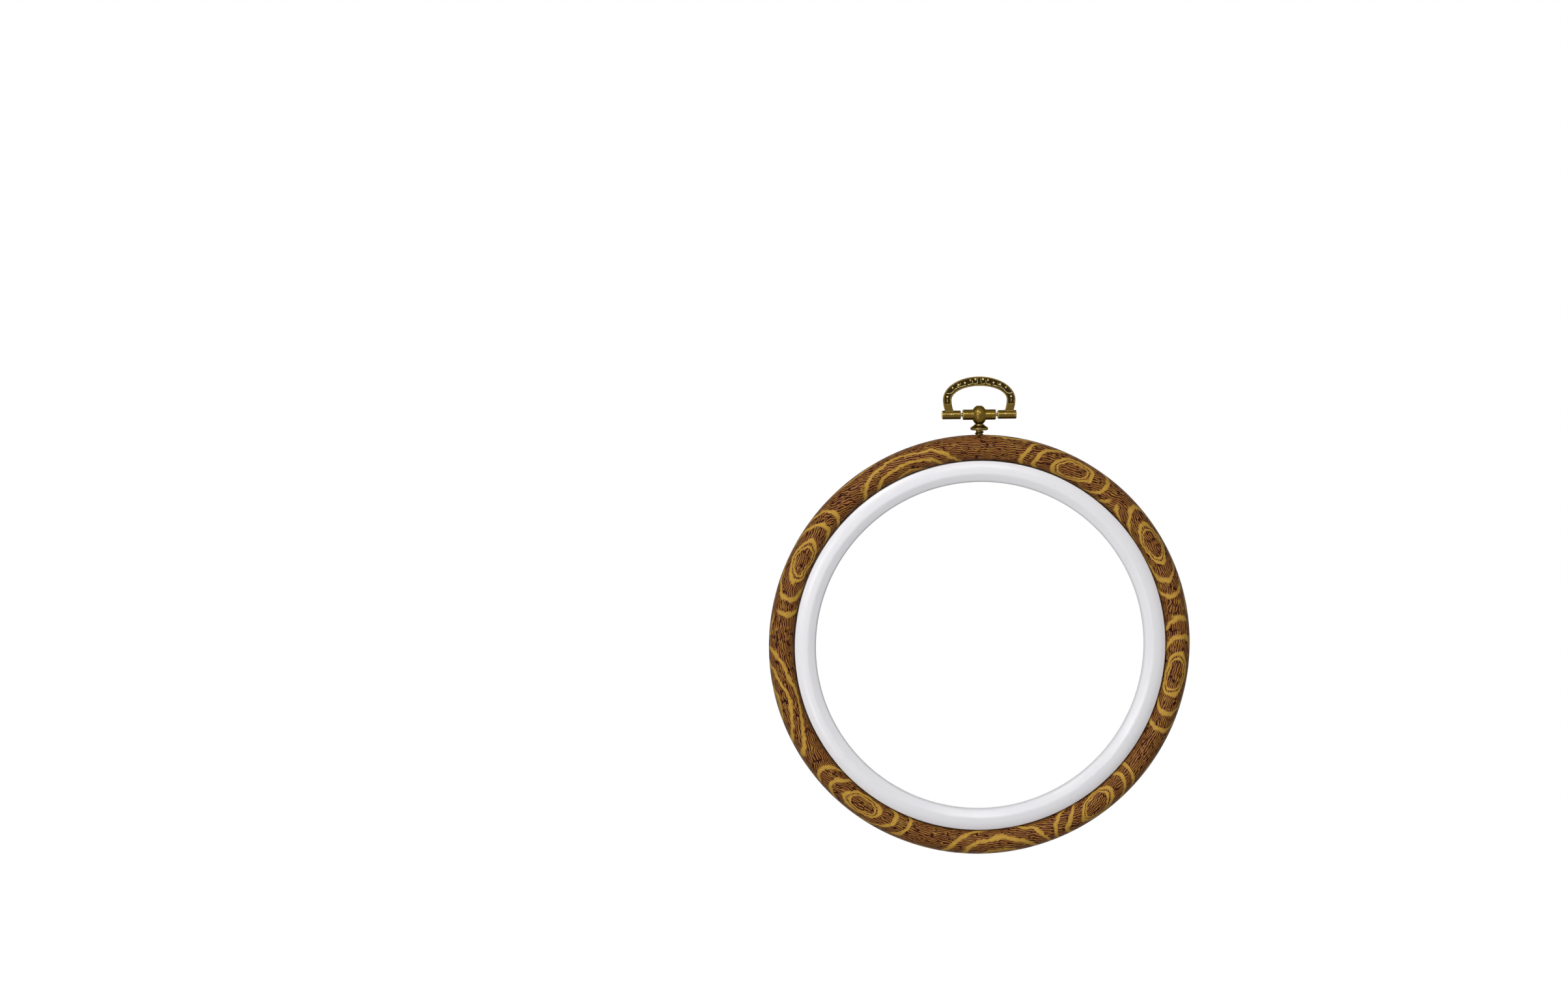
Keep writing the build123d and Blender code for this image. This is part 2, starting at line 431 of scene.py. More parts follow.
def wood_print(tones):
    """Wood grain printed on soft vinyl: yellow rings round knots, tan ground, maroon strokes."""
    s = Shader("imitation_wood_vinyl")
    place = s.place_mm(HOOP_CENTRE_Z)
    x, y, z = s.split(place)
    reach = (x * x + z * z).math("SQRT")
    sine = x / reach
    cosine = z / reach
    section_angle = (y * -1.0).math("ARCTAN2", reach - CREST_RADIUS)
    across = (math.pi / 2 - section_angle) * CROSS_SCALE
    flat = s.add("CombineXYZ", None, (sine * CREST_RADIUS, across, cosine * CREST_RADIUS))

    warped = s.vector("ADD", flat, s.vector("MULTIPLY", s.swing(flat, 0.12), (KNOT_DRIFT,) * 3))
    warped = s.vector("ADD", warped, s.swing(flat, 0.6))
    nearest = next_nearest = None
    for angle, outside, lean, half_length, half_height in KNOTS:
        turn, tilt = math.radians(angle), math.radians(lean)
        outward = Vector((math.sin(turn), 0, math.cos(turn)))
        along = Vector((math.cos(turn), 0, -math.sin(turn)))
        over = Vector((0, 1, 0))
        axes = Matrix((
            along * math.cos(tilt) + over * math.sin(tilt),
            over * math.cos(tilt) - along * math.sin(tilt),
            outward,
        )).transposed()
        sockets = {
            "Vector": warped,
            "Location": outward * CREST_RADIUS + over * outside,
            "Rotation": axes.to_euler(),
            "Scale": (half_length, half_height, KNOT_FAR_SIDE),
        }
        local = s.add("Mapping", {"vector_type": "TEXTURE"}, sockets)
        distance = s.vector("LENGTH", local, out="Value")
        if nearest is None:
            nearest = distance
            continue
        farther = nearest.math("MAXIMUM", distance)
        nearest = nearest.math("MINIMUM", distance)
        next_nearest = farther if next_nearest is None else next_nearest.math("MINIMUM", farther)
    uneven = nearest + (s.noise(flat, 0.35, 1.0) - 0.5) * 0.3
    rings = s.ramp(uneven / RING_REACH, [(at / RING_REACH, level) for at, level in RING_STOPS])
    rings = rings * s.ramp(next_nearest - nearest, ((0.25, 0.0), (0.6, 1.0)))

    turn_share = (x.math("ARCTAN2", z) / FULL_TURN).math("FRACT")
    lean_stops = [(at / 360, lean / LEAN_RANGE / 2 + 0.5) for at, lean in LEANS]
    lean = s.ramp(turn_share + (s.noise(flat, 0.15, 1.0) - 0.5) * 0.02, lean_stops)
    lean = (lean - 0.5) * math.radians(2 * LEAN_RANGE) + (s.noise(flat, 0.2, 1.0) - 0.5) * 1.1
    lean_sine, lean_cosine = lean.math("SINE"), lean.math("COSINE")
    stroke_across = s.add("CombineXYZ", None, (lean_sine * cosine * -1.0, lean_cosine, lean_sine * sine))
    ripple = s.vector("MULTIPLY", s.swing(flat, 0.4), (STROKE_RIPPLE,) * 3)
    squeezed = s.vector("MULTIPLY", flat, (STROKE_SQUEEZE, 1.0, STROKE_SQUEEZE))
    squeezed = s.vector("ADD", squeezed, ripple)
    gabor = s.add(
        "TexGabor",
        {"gabor_type": "3D"},
        {
            "Vector": squeezed,
            "Scale": STROKE_CELLS,
            "Frequency": 1.6 + s.noise(flat, 0.3, 1.0) * 1.6,
            "Anisotropy": 0.97,
            GABOR_AXIS: stroke_across,
        },
    )
    ragged = (s.noise(flat, 0.7, 2.0) - 0.5) * STROKE_RAGGED
    strokes = gabor - rings * RING_CLEARING + ragged
    yellow_share = rings.math("MAXIMUM", s.ramp(s.noise(flat, 0.3, 2.0), ((0.5, 0.0), (0.75, 0.6))))
    ground = s.mix(yellow_share, tones.tan, tones.yellow)
    ground = s.mix(s.ramp(s.noise(flat, 1.4, 3.0), ((0.35, 0.35), (0.65, 0.0))), ground, tones.blush)
    ink = s.ramp(strokes, ((0.53, tuple(tones.outline)), (0.66, tuple(tones.maroon))))
    cover = s.ramp(strokes, ((0.475, 0.0), (0.5, 1.0)))
    colour = s.mix(cover, ground, ink)
    relief = cover * 0.6 + s.noise(flat, 2.2, 3.0) * 0.6
    bump = s.add("Bump", None, {"Strength": 0.35, "Distance": 0.00006, "Height": relief})
    return s.principled({
        "Base Color": colour,
        "Roughness": 0.36 + cover * 0.08,
        "Specular IOR Level": 0.04,
        "Normal": bump,
    })


# Ejector marks of the white plastic: degrees clockwise from the top, distance from the hoop's centre
EJECTOR_MARKS = ((148.6, 68.5), (218.3, 67.9))
EJECTOR_RADIUS = 1.75


def white_plastic(tones):
    """Injection-moulded white plastic, a little blue, with faint specks and ejector marks."""
    s = Shader("white_plastic")
    place = s.place_mm(HOOP_CENTRE_Z)
    cloud = s.noise(place, 0.03, 2.0)
    speck = s.ramp(s.noise(place, 0.9, 0.0), ((0.77, 0.0), (0.8, 1.0)))
    colour = s.mix(cloud * 0.5, tones.white, tones.white_shade)
    colour = s.mix(speck * 0.08, colour, tones.speck)
    x, _, z = s.split(place)
    height = s.noise(place, 0.22, 1.0)
    for angle, reach in EJECTOR_MARKS:
        turn = math.radians(angle)
        along, up = x - reach * math.sin(turn), z - reach * math.cos(turn)
        away = (along * along + up * up).math("SQRT") / (2 * EJECTOR_RADIUS)
        ring = s.ramp(away, ((0.44, 0.0), (0.48, 1.0), (0.52, 1.0), (0.56, 0.0)))
        height = height - ring * 0.12
        colour = s.mix(ring * 0.1, colour, tones.speck)
    bump = s.add("Bump", None, {"Strength": 0.5, "Distance": 0.0002, "Height": height})
    return s.principled({
        "Base Color": colour,
        "Roughness": 0.2 + cloud * 0.1,
        "Specular IOR Level": 0.2,
        "Normal": bump,
    })


# Depth in front of the pin's axis against colour on the bail's face: sunk panel 0, body 0.5, rubbed 1
FACE_WEAR = (
    (0.40, 0.5),
    (0.45, 0.0),
    (0.62, 0.0),
    (0.67, 0.75),
    (0.76, 0.75),
    (0.80, 1.0),
    (0.85, 1.0),
    (0.88, 0.5),
    (0.92, 0.5),
    (0.94, 1.0),
)


def aged_brass(name, recess, body, rubbed, grain, ends=(), face_above=None):
    """Darkened brass that stays dark in its recesses and is rubbed bright where it stands out.

    ends: distances from the middle, along X, where barrels end.
    face_above: height of the flat front's foot.
    """
    s = Shader(name)
    place = s.place_mm(PIN_AXIS_Z)
    x, y, z = s.split(place)
    mottle = s.noise(place, grain, 3.0, 0.6)
    patch = (mottle - 0.5) * 0.9
    wear = patch + 0.5
    for end in ends:
        away = (x.math("ABSOLUTE") - end).math("ABSOLUTE") / 0.5
        wear = wear + s.ramp(away + patch * 0.4, ((0.3, 0.35), (0.6, 0.0)))
    if face_above is not None:
        worn_face = s.ramp(y * -1.0 + patch * 0.03, FACE_WEAR) + patch * 0.5
        on_face = s.ramp(z - face_above, ((0.0, 0.0), (0.1, 1.0)))
        wear = s.add("Mix", {"data_type": "FLOAT"}, {0: on_face, 2: wear, 3: worn_face})
    colour = s.ramp(wear, ((0.1, recess), (0.45, body), (0.6, body), (0.95, rubbed)))
    bump = s.add("Bump", None, {"Strength": 0.4, "Distance": 0.00005, "Height": s.noise(place, 1.8, 3.0)})
    return s.principled({
        "Base Color": colour,
        "Metallic": 1.0,
        "Roughness": 0.2 + (1.0 - mottle) * 0.2,
        "Specular Tint": (0.4, 0.36, 0.25, 1.0),
        "Normal": bump,
    })


def pale_stage(name):
    """Pale matt paint that the camera, metal and glass see as white."""
    s = Shader(name)
    paint = s.add("BsdfDiffuse", None, {"Color": (0.82, 0.82, 0.82, 1.0)})
    white = s.add("Emission", None, {"Color": WHITE, "Strength": 1.0})
    return s.finish(s.shown_white(paint, white))


def rounded_outline(bm, corners):
    """Draw a closed outline on the XY plane, with each corner rounded by its own radius."""
    verts = [bm.verts.new((x, y, 0)) for x, y, _ in corners]
    face = bm.faces.new(verts)
    count = len(corners)
    for index, (x, y, rounding) in enumerate(corners):
        if rounding <= 0:
            continue
        here = Vector((x, y))
        before = Vector(corners[index - 1][:2]) - here
        after = Vector(corners[(index + 1) % count][:2]) - here
        setback = rounding / math.tan(before.angle(after) / 2)
        bmesh.ops.bevel(
            bm,
            geom=[verts[index]],
            offset=setback,
            offset_type="OFFSET",
            segments=CORNER_STEPS,
            profile=0.5,
            affect="VERTICES",
            material=-1,
        )
    bmesh.ops.delete(bm, geom=bm.faces[:], context="FACES_ONLY")


def turn_outline(bm, axis, steps):
    """Spin the whole outline one full turn and close its poles."""
    on_axis = [e for e in bm.edges if all(abs(v.co.x) < 1e-6 for v in e.verts)]
    bmesh.ops.delete(bm, geom=on_axis, context="EDGES")
    bmesh.ops.spin(
        bm,
        geom=bm.verts[:] + bm.edges[:],
        cent=(0, 0, 0),
        axis=axis,
        angle=FULL_TURN,
        steps=steps,
        use_merge=True,
    )
    bmesh.ops.remove_doubles(bm, verts=bm.verts, dist=1e-5)
    bmesh.ops.recalc_face_normals(bm, faces=bm.faces)


def stand_and_turn(bm, steps):
    """Stand an outline of radius and height up, and turn it about Z."""
    bmesh.ops.rotate(bm, cent=(0, 0, 0), matrix=Matrix.Rotation(math.pi / 2, 3, "X"), verts=bm.verts)
    turn_outline(bm, (0, 0, 1), steps)


def barrel(radius, left, right):
    """A cylinder along X between two places, with rounded ends."""
    middle = (left + right) / 2
    bm = bmesh.new()
    bmesh.ops.create_cone(
        bm,
        cap_ends=True,
        segments=BARREL_STEPS,
        radius1=radius,
        radius2=radius,
        depth=right - left,
        matrix=Matrix.Translation((middle, 0, 0)) @ Matrix.Rotation(math.pi / 2, 4, "Y"),
    )
    rims = [e for e in bm.edges if len({abs(f.normal.x) > 0.5 for f in e.link_faces}) == 2]
    bmesh.ops.bevel(
        bm,
        geom=rims,
        offset=BARREL_EDGE,
        offset_type="OFFSET",
        segments=4,
        profile=0.5,
        affect="EDGES",
        material=-1,
    )
    return bm


def pair_of_barrels(radius, inner, outer):
    """Two barrels at the same distances on the left and on the right."""
    return barrel(radius, -outer, -inner), barrel(radius, inner, outer)


def pin_bore(radius, reach):
    """What is drilled out for the pin, a little longer than the barrels."""
    return barrel(radius, -reach - 1, reach + 1)


def take_in(bm, *others):
    """Join other shapes into this one."""
    for other in others:
        carrier = bpy.data.meshes.new("carrier")
        other.to_mesh(carrier)
        other.free()
        bm.from_mesh(carrier)
        bpy.data.meshes.remove(carrier)


def with_modifiers(bm, *modifiers):
    """The shape after these modifiers, each given as a type and its settings. Frees the old one."""
    mesh = bpy.data.meshes.new("shaping")
    bm.to_mesh(mesh)
    bm.free()
    shaping = bpy.data.objects.new("shaping", mesh)
    bpy.context.scene.collection.objects.link(shaping)
    for kind, settings in modifiers:
        modifier = shaping.modifiers.new(kind.lower(), kind)
        for name, value in settings.items():
            setattr(modifier, name, value)
    graph = bpy.context.evaluated_depsgraph_get()
    result = bpy.data.meshes.new_from_object(shaping.evaluated_get(graph))
    shaped = bmesh.new()
    shaped.from_mesh(result)
    bpy.data.objects.remove(shaping)
    bpy.data.meshes.remove(mesh)
    bpy.data.meshes.remove(result)
    return shaped


def cast(bm, voxel, smoothing):
    """Melt overlapping shapes into one closed casting with soft inner corners."""
    return with_modifiers(
        bm,
        ("REMESH", {"mode": "VOXEL", "voxel_size": voxel}),
        ("SMOOTH", {"factor": 0.5, "iterations": smoothing}),
    )


def drill(bm, cutter):
    """Cut one shape out of another."""
    mesh = bpy.data.meshes.new("cutter")
    cutter.to_mesh(mesh)
    cutter.free()
    tool = bpy.data.objects.new("cutter", mesh)
    bpy.context.scene.collection.objects.link(tool)
    cut = with_modifiers(bm, ("BOOLEAN", {"operation": "DIFFERENCE", "solver": "EXACT", "object": tool}))
    bpy.data.objects.remove(tool)
    bpy.data.meshes.remove(mesh)
    return cut


def finish_piece(name, bm, centre_z, material, body, nodes):
    """Set a shape drawn in millimetres in its place, hang it on its body and hide the CAD parts it
    replaces.
    """
    bmesh.ops.translate(bm, vec=(0, 0, centre_z), verts=bm.verts)
    bmesh.ops.scale(bm, vec=(MM, MM, MM), verts=bm.verts)
    mesh = bpy.data.meshes.new(name)
    bm.to_mesh(mesh)
    bm.free()
    mesh.shade_smooth()
    mesh.set_sharp_from_angle(angle=math.radians(30))
    mesh.materials.append(material)
    piece = bpy.data.objects.new(name, mesh)
    bpy.context.scene.collection.objects.link(piece)
    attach(piece, body)
    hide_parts(*nodes)


def tone(name, description, *levels):
    """A colour setting whose first value is given as 0 to 255."""
    return bpy.props.FloatVectorProperty(
        name=name, description=description, subtype="COLOR", size=4, default=srgb(*levels),
    )


def power(name, description, watts):
    """A setting for a lamp's power."""
    return bpy.props.FloatProperty(name=name, description=description, unit="POWER", default=watts)


class HoopTones(bpy.types.PropertyGroup):
    """Colours of the print and of the plastic."""

    yellow: tone("Ring yellow", "Colour of the rings round the knots", 187, 149, 60)
    tan: tone("Ground tan", "Colour between the printed strokes", 148, 101, 48)
    blush: tone("Blush", "Pinkish patches of the ground", 121, 75, 50)
    maroon: tone("Stroke maroon", "Middle of the broad strokes", 71, 32, 19)
    outline: tone("Stroke outline", "Dark edge of the strokes", 41, 12, 7)
    white: tone("White", "Colour of the inner hoop", 225, 224, 227)
    white_shade: tone("White shade", "Slightly darker patches of the inner hoop", 217, 216, 220)
    speck: tone("Speck", "Tiny specks in the white plastic", 150, 150, 155)


class StageSettings(bpy.types.PropertyGroup):
    """Where the camera stands and how bright the lamps are."""

    distance: bpy.props.FloatProperty(
        name="Distance", description="From the camera to the middle of the hoop", unit="LENGTH",
        default=1.35,
    )
    elevation: bpy.props.FloatProperty(
        name="Elevation", description="Height of the camera above the horizon", subtype="ANGLE",
        default=math.radians(7.5),
    )
    azimuth: bpy.props.FloatProperty(
        name="Azimuth", description="Turn of the camera round the hoop", subtype="ANGLE",
        default=math.radians(-5.5),
    )
    key_power: power("Key lamp", "Power of the main soft lamp", 9.0)
    fill_power: power("Fill lamp", "Power of the soft lamp above the camera", 4.2)
    low_power: power("Low lamp", "Power of the small lamp that gives the gloss", 2.0)
    side_power: power("Side lamp", "Power of the small lamp that lights the brass", 4.6)
    ambient: bpy.props.FloatProperty(
        name="Ambient", description="Strength of the even light from all round", default=0.12,
    )


class HOOP_OT_outer_hoop(bpy.types.Operator):
    """Make the printed outer hoop"""

    bl_idname = "hoop.outer_hoop"
    bl_label = "Outer hoop"

    def execute(self, context):
        bm = bmesh.new()
        bmesh.ops.create_circle(bm, segments=SECTION_STEPS, radius=1.0)
        wall = OUTER_RADIUS - HOOP_WIDTH
        for vert in bm.verts:
            x, y = round(vert.co.x, 6), round(vert.co.y, 6)
            if y <= 0 < x or (x == 0 and y < 0):
                centre, size = (CREST_RADIUS, 0), (OUTER_RADIUS - CREST_RADIUS, CREST_DEPTH)
            elif y <= 0:
                centre = (CREST_RADIUS, -FRONT_EDGE_DEPTH)
                size = (CREST_FROM_WALL, CREST_DEPTH - FRONT_EDGE_DEPTH)
            elif x >= 0:
                centre, size = (OUTER_RADIUS - BACK_ROUNDING, 0), (BACK_ROUNDING, BACK_DEPTH)
            else:
                centre, size = (wall + BACK_CORNER, BACK_DEPTH - BACK_CORNER), (BACK_CORNER, BACK_CORNER)
            vert.co = (centre[0] + size[0] * x, centre[1] + size[1] * y, 0)
        turn_outline(bm, (0, 1, 0), RING_STEPS)
        finish_piece(
            "outer_hoop_skin", bm, HOOP_CENTRE_Z, wood_print(context.scene.hoop_tones),
            "hoop_body", ["outer_hoop"],
        )
        return {"FINISHED"}


class HOOP_OT_inner_hoop(bpy.types.Operator):
    """Make the white inner hoop"""

    bl_idname = "hoop.inner_hoop"
    bl_label = "Inner hoop"

    def execute(self, context):
        bm = bmesh.new()
        rounded_outline(bm, INNER_HOOP_CORNERS)
        turn_outline(bm, (0, 1, 0), RING_STEPS)
        finish_piece(
            "inner_hoop_moulding", bm, HOOP_CENTRE_Z, white_plastic(context.scene.hoop_tones),
            "inner_hoop_body", ["inner_hoop"],
        )
        return {"FINISHED"}


class HOOP_OT_hanger_screw(bpy.types.Operator):
    """Make the screw with its collar, neck and thread"""

    bl_idname = "hoop.hanger_screw"
    bl_label = "Hanger screw"

    def execute(self, context):
        bm = bmesh.new()
        rounded_outline(bm, SCREW_CORNERS)
        stand_and_turn(bm, HANGER_STEPS)
        thread = bmesh.new()
        thread.faces.new([
            thread.verts.new((THREAD_RADIUS + x, 0, THREAD_BOTTOM + z))
            for x, z in THREAD_SECTION
        ])
        turns = (THREAD_TOP - THREAD_BOTTOM) / THREAD_PITCH
        steps = int(turns * THREAD_STEPS_PER_TURN)
        bmesh.ops.spin(
            thread,
            geom=thread.verts[:] + thread.edges[:] + thread.faces[:],
            cent=(0, 0, 0),
            axis=(0, 0, 1),
            dvec=(0, 0, (THREAD_TOP - THREAD_BOTTOM) / steps),
            angle=FULL_TURN * turns,
            steps=steps,
        )
        bmesh.ops.recalc_face_normals(thread, faces=thread.faces)
        take_in(bm, thread)
        brass = aged_brass("screw_brass", srgb(42, 33, 17), srgb(98, 81, 44), srgb(190, 172, 118), 1.1)
        finish_piece(
            "hanger_screw_turned", bm, PIN_AXIS_Z, brass, "hoop_body", ["hanger_screw"],
        )
        return {"FINISHED"}


class HOOP_OT_swivel_ball(bpy.types.Operator):
    """Cast the ball with its two barrels"""

    bl_idname = "hoop.swivel_ball"
    bl_label = "Swivel ball"

    def execute(self, context):
        bm = bmesh.new()
        for flat, side in ((BALL_TOP_FLAT, 1), (BALL_BOTTOM_FLAT, -1)):
            centre = (BALL_HEIGHT ** 2 + flat ** 2 - BALL_RADIUS ** 2) / (2 * (flat - BALL_RADIUS))
            sweep = math.asin(BALL_HEIGHT / (BALL_RADIUS - centre))
            widest = bm.verts.new((BALL_RADIUS, 0, 0))
            bmesh.ops.spin(
                bm,
                geom=[widest],
                cent=(centre, 0, 0),
                axis=(0, 0, 1),
                angle=side * sweep,
                steps=BALL_CURVE_STEPS,
            )
        bmesh.ops.remove_doubles(bm, verts=bm.verts, dist=1e-4)
        top = max(bm.verts, key=lambda v: v.co.y)
        low = min(bm.verts, key=lambda v: v.co.y)
        inner = [
            bm.verts.new((x, y, 0))
            for x, y in (
                (NECK_BORE, -BALL_HEIGHT),
                (NECK_BORE, CHAMBER_BOTTOM),
                (CHAMBER_RADIUS, CHAMBER_BOTTOM),
                (CHAMBER_RADIUS, CHAMBER_TOP),
                (0, CHAMBER_TOP),
            )
        ]
        chain = [low, *inner]
        for first, second in zip(chain, chain[1:]):
            bm.edges.new((first, second))
        pole = bm.verts.new((0, BALL_HEIGHT, 0))
        bm.edges.new((top, pole))
        stand_and_turn(bm, HANGER_STEPS)
        take_in(bm, *pair_of_barrels(BALL_BARREL_RADIUS, BALL_BARREL_START, BALL_BARREL_END))
        bm = cast(bm, BALL_VOXEL, 4)
        bm = drill(bm, pin_bore(BALL_PIN_BORE, BALL_BARREL_END))
        brass = aged_brass(
            "antique_brass_ball", srgb(44, 33, 12), srgb(96, 77, 31), srgb(180, 158, 88), 0.8,
            ends=(BALL_BARREL_END,),
        )
        finish_piece(
            "swivel_ball_casting", bm, PIN_AXIS_Z, brass, "ball_body", ["swivel_ball"],
        )
        return {"FINISHED"}


def bail_strip():
    """The flat D of the bail, with its sunk panel, drawn round the pin's axis."""
    bm = bmesh.new()
    inner = bm.verts.new((BAIL_INNER_HALF, 0, 0))
    outer = bm.verts.new((BAIL_INNER_HALF + BAIL_SIDE_WIDTH, 0, 0))
    edge = bm.edges.new((inner, outer))
    bmesh.ops.spin(
        bm,
        geom=[inner, outer, edge],
        cent=(0, 0, 0),
        axis=(0, 1, 0),
        angle=-math.pi,
        steps=BAIL_CURVE_STEPS,
    )
    middle = BAIL_INNER_HALF + BAIL_SIDE_WIDTH / 2
    inner_squash = BAIL_INNER_RISE / BAIL_INNER_HALF
    outer_squash = (BAIL_INNER_RISE + BAIL_TOP_WIDTH) / (BAIL_INNER_HALF + BAIL_SIDE_WIDTH)
    for vert in bm.verts:
        squash = inner_squash if vert.co.length < middle else outer_squash
        vert.co.z = vert.co.z * squash + BAIL_WIDEST_Z
    drop = BAIL_WIDEST_Z - BAIL_FOOT_Z
    for side in (-1, 1):
        low = {v for v in bm.verts if abs(v.co.z - BAIL_WIDEST_Z) < 1e-4 and v.co.x * side > 0}
        end = [e for e in bm.edges if low.issuperset(e.verts)]
        was = BAIL_WIDEST_Z
        for height in LEG_HEIGHTS:
            made = bmesh.ops.extrude_edge_only(bm, edges=end)["geom"]
            end = [g for g in made if isinstance(g, bmesh.types.BMEdge)]
            end = [e for e in end if all(v in made for v in e.verts)]
            shares = [min(BAIL_WIDEST_Z - h, drop) / drop for h in (was, height)]
            draw = BAIL_FOOT_DRAW * (shares[1] ** 2 - shares[0] ** 2)
            bmesh.ops.translate(
                bm,
                vec=(-side * draw, 0, height - was),
                verts=[v for v in made if isinstance(v, bmesh.types.BMVert)],
            )
            was = height
    bmesh.ops.recalc_face_normals(bm, faces=bm.faces)
    bmesh.ops.translate(bm, vec=(0, BAIL_HALF_THICKNESS, 0), verts=bm.verts)
    front = bmesh.ops.extrude_face_region(bm, geom=bm.faces[:])["geom"]
    front_faces = [g for g in front if isinstance(g, bmesh.types.BMFace)]
    bmesh.ops.translate(
        bm,
        vec=(0, -2 * BAIL_HALF_THICKNESS, 0),
        verts=[g for g in front if isinstance(g, bmesh.types.BMVert)],
    )
    bmesh.ops.recalc_face_normals(bm, faces=bm.faces)
    panel = [f for f in front_faces if f.calc_center_median().z > PANEL_STEP_Z - PANEL_BORDER]
    bmesh.ops.inset_region(bm, faces=panel, thickness=PANEL_BORDER, depth=0, use_even_offset=True)
    bmesh.ops.inset_region(bm, faces=panel, thickness=PANEL_WALL, depth=-PANEL_DEPTH, use_even_offset=True)
    return bm


def scroll_lines():
    """Raised lines on the sunk panel, as round wires half sunk in it."""
    wires = []
    for points, radius in SCROLLS:
        for side in (-1, 1):
            curve = bpy.data.curves.new("scroll", "CURVE")
            curve.dimensions = "3D"
            curve.bevel_depth = radius
            curve.bevel_resolution = 2
            curve.resolution_u = 6
            curve.use_fill_caps = True
            spline = curve.splines.new("NURBS")
            spline.points.add(len(points) - 1)
            for point, (x, z) in zip(spline.points, points):
                point.co = (side * x, PANEL_Y - SCROLL_SINK, z, 1.0)
            spline.order_u = 3
            spline.use_endpoint_u = True
            holder = bpy.data.objects.new("scroll", curve)
            bpy.context.scene.collection.objects.link(holder)
            graph = bpy.context.evaluated_depsgraph_get()
            mesh = bpy.data.meshes.new_from_object(holder.evaluated_get(graph))
            wire = bmesh.new()
            wire.from_mesh(mesh)
            bmesh.ops.remove_doubles(wire, verts=wire.verts, dist=1e-4)
            bmesh.ops.recalc_face_normals(wire, faces=wire.faces)
            wires.append(wire)
            bpy.data.objects.remove(holder)
            bpy.data.curves.remove(curve)
            bpy.data.meshes.remove(mesh)
    return wires


class HOOP_OT_bail(bpy.types.Operator):
    """Cast the bail with its dots, scrolls and end barrels"""

    bl_idname = "hoop.bail"
    bl_label = "Bail"

    def execute(self, context):
        bm = bail_strip()
        take_in(bm, *scroll_lines())
        for half, height, radius in BAIL_DOTS:
            for side in (-1, 1):
                dot = bmesh.new()
                bmesh.ops.create_uvsphere(dot, u_segments=20, v_segments=12, radius=radius)
                bmesh.ops.scale(dot, vec=(1, DOT_FLATNESS, 1), verts=dot.verts)
                bmesh.ops.translate(dot, vec=(side * half, PANEL_Y, height), verts=dot.verts)
                take_in(bm, dot)
        for side in (-1, 1):
            bar = bmesh.new()
            bmesh.ops.create_cube(bar, size=1.0)
            bmesh.ops.scale(bar, vec=BAR_SIZE, verts=bar.verts)
            bmesh.ops.translate(bar, vec=(side * BAR_X, PANEL_Y, BAR_Z), verts=bar.verts)
            take_in(bm, bar)
        take_in(bm, *pair_of_barrels(BAIL_BARREL_RADIUS, BAIL_BARREL_INNER, BAIL_BARREL_OUTER))
        bm = cast(bm, BAIL_VOXEL, 2)
        bm = drill(bm, pin_bore(BAIL_PIN_BORE, BAIL_BARREL_OUTER))
        brass = aged_brass(
            "antique_brass_bail", srgb(46, 36, 16), srgb(94, 76, 34), srgb(208, 192, 134), 0.9,
            ends=(BAIL_BARREL_INNER, BAIL_BARREL_OUTER), face_above=BAIL_BARREL_RADIUS,
        )
        finish_piece("bail_casting", bm, PIN_AXIS_Z, brass, "bail_body", ["bail"])
        return {"FINISHED"}


class HOOP_OT_hinge_pin(bpy.types.Operator):
    """Give the hinge pin its bright brass"""

    bl_idname = "hoop.hinge_pin"
    bl_label = "Hinge pin"

    def execute(self, context):
        brass = aged_brass("pin_brass", srgb(60, 50, 28), srgb(130, 114, 70), srgb(210, 196, 146), 1.4)
        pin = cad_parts["hinge_pin"]
        pin.data.materials.clear()
        pin.data.materials.append(brass)
        return {"FINISHED"}


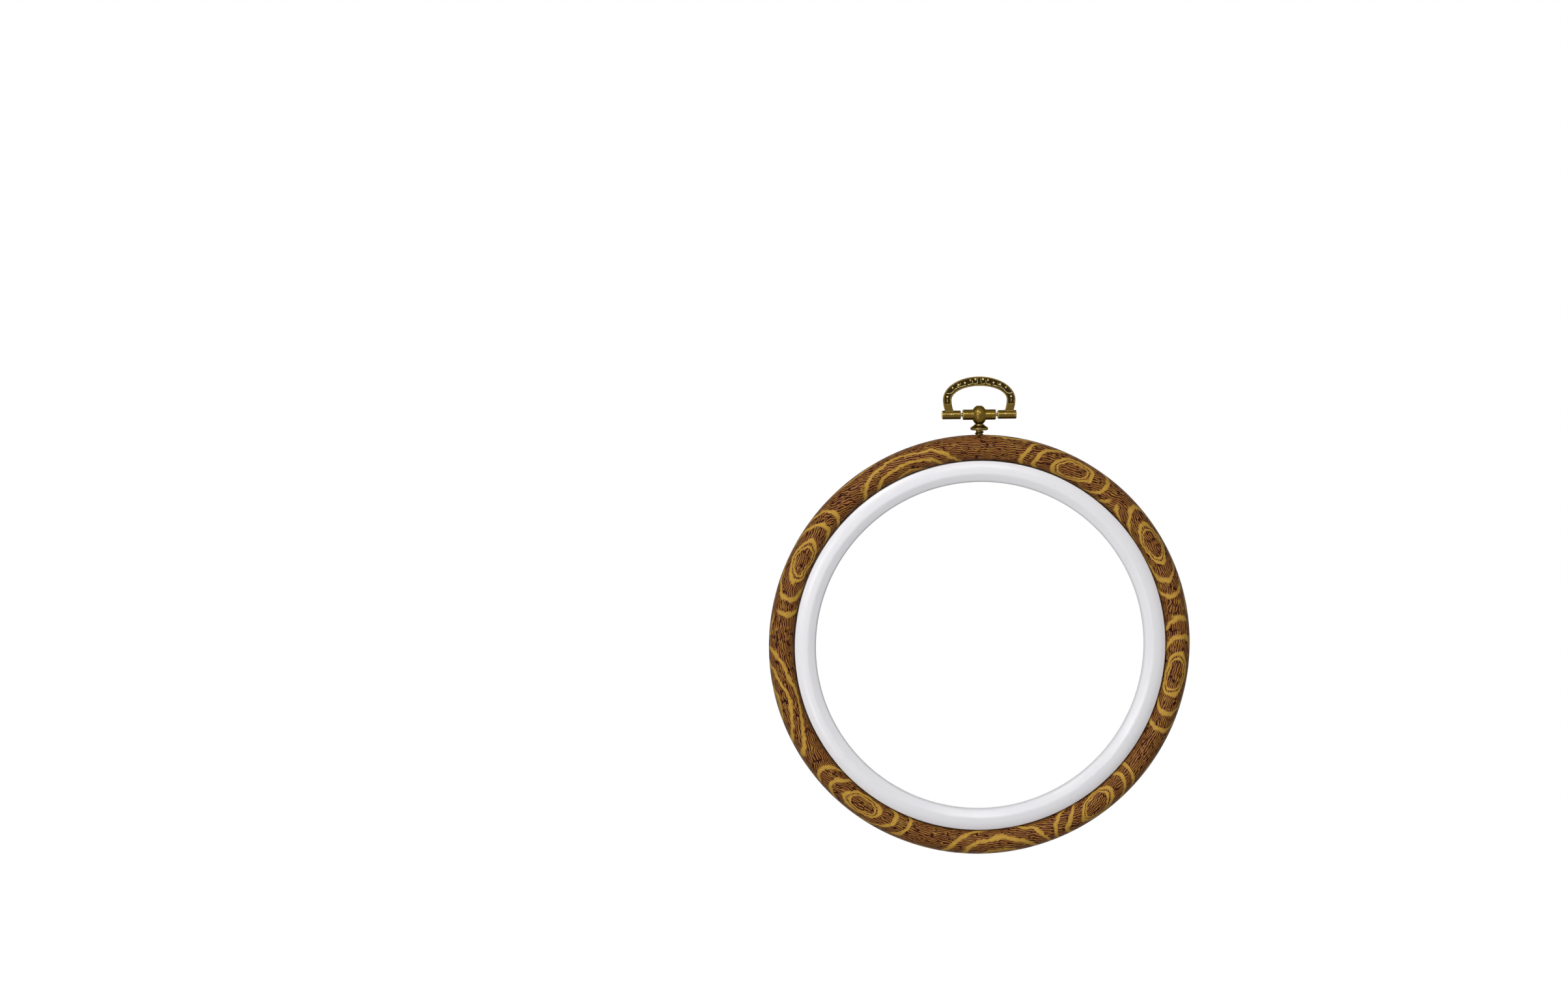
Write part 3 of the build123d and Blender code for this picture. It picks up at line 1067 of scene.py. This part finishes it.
class HOOP_OT_stage(bpy.types.Operator):
    """Set up the floor, the backdrop, the lamps and the camera"""

    bl_idname = "hoop.stage"
    bl_label = "Stage"

    def execute(self, context):
        settings = context.scene.hoop_stage
        centre = Vector((0, 0, HOOP_CENTRE_Z * MM))
        for name, place, tilt in (
            ("floor", (0, 0, FLOOR_Z), 0.0),
            ("backdrop", (0, BACKDROP_Y, BACKDROP_Z), math.pi / 2),
        ):
            bm = bmesh.new()
            bmesh.ops.create_grid(bm, x_segments=1, y_segments=1, size=STAGE_SIZE / 2)
            bmesh.ops.rotate(bm, cent=(0, 0, 0), matrix=Matrix.Rotation(tilt, 3, "X"), verts=bm.verts)
            bmesh.ops.translate(bm, vec=place, verts=bm.verts)
            mesh = bpy.data.meshes.new(name)
            bm.to_mesh(mesh)
            bm.free()
            mesh.materials.append(pale_stage(name + "_paint"))
            plate = bpy.data.objects.new(name, mesh)
            context.scene.collection.objects.link(plate)

        for name, power_setting, place, size in LAMPS:
            lamp = bpy.data.lights.new(name, "AREA")
            lamp.shape = "SQUARE"
            lamp.size = size
            lamp.energy = getattr(settings, power_setting)
            holder = bpy.data.objects.new(name, lamp)
            holder.location = place
            holder.rotation_euler = (centre - Vector(place)).to_track_quat("-Z", "Y").to_euler()
            context.scene.collection.objects.link(holder)

        s = Shader("studio", bpy.data.worlds)
        even, white = (
            s.add("Background", None, {"Color": WHITE, "Strength": strength})
            for strength in (settings.ambient, 1.0)
        )
        s.add("OutputWorld", None, {"Surface": s.shown_white(even, white)})
        context.scene.world = s.owner
        context.scene.view_settings.view_transform = "Standard"

        off_axis = Vector((HOOP_AT[0] - IMAGE_WIDTH / 2, IMAGE_HEIGHT / 2 - HOOP_AT[1])) / PIXELS_PER_METRE
        depth = math.sqrt(settings.distance ** 2 - off_axis.length_squared)
        camera = bpy.data.cameras.new("camera")
        camera.sensor_width = SENSOR_WIDTH
        camera.lens = PIXELS_PER_METRE * depth / IMAGE_WIDTH * SENSOR_WIDTH
        camera.clip_start = 0.05
        holder = bpy.data.objects.new("camera", camera)
        azimuth, elevation = settings.azimuth, settings.elevation
        back = Vector((
            math.sin(azimuth) * math.cos(elevation),
            -math.cos(azimuth) * math.cos(elevation),
            math.sin(elevation),
        ))
        aim = (-back).to_track_quat("-Z", "Y")
        swing = math.atan2(off_axis.x, depth)
        nod = -math.atan2(off_axis.y, depth)
        aim = aim @ Quaternion((0, 1, 0), swing) @ Quaternion((1, 0, 0), nod)
        holder.location = centre + back * settings.distance
        holder.rotation_mode = "QUATERNION"
        holder.rotation_quaternion = aim
        context.scene.collection.objects.link(holder)
        context.scene.camera = holder
        return {"FINISHED"}


STEPS = (
    HOOP_OT_outer_hoop,
    HOOP_OT_inner_hoop,
    HOOP_OT_hanger_screw,
    HOOP_OT_swivel_ball,
    HOOP_OT_bail,
    HOOP_OT_hinge_pin,
    HOOP_OT_stage,
)


class HOOP_PT_panel(bpy.types.Panel):
    """Lists the hoop's pieces and settings in the sidebar"""

    bl_idname = "HOOP_PT_panel"
    bl_label = "Embroidery hoop"
    bl_space_type = "VIEW_3D"
    bl_region_type = "UI"
    bl_category = "Hoop"

    def draw(self, context):
        for step in STEPS:
            self.layout.operator(step.bl_idname)
        for group in (context.scene.hoop_tones, context.scene.hoop_stage):
            column = self.layout.column()
            for name in group.__annotations__:
                column.prop(group, name)


CLASSES = (HoopTones, StageSettings, *STEPS, HOOP_PT_panel)


def register():
    for cls in CLASSES:
        bpy.utils.register_class(cls)
    bpy.types.Scene.hoop_tones = bpy.props.PointerProperty(type=HoopTones)
    bpy.types.Scene.hoop_stage = bpy.props.PointerProperty(type=StageSettings)


def unregister():
    del bpy.types.Scene.hoop_stage
    del bpy.types.Scene.hoop_tones
    for cls in reversed(CLASSES):
        bpy.utils.unregister_class(cls)


def main():
    register()
    for step in STEPS:
        group, name = step.bl_idname.split(".")
        getattr(getattr(bpy.ops, group), name)()


if __name__ == "__main__":
    main()
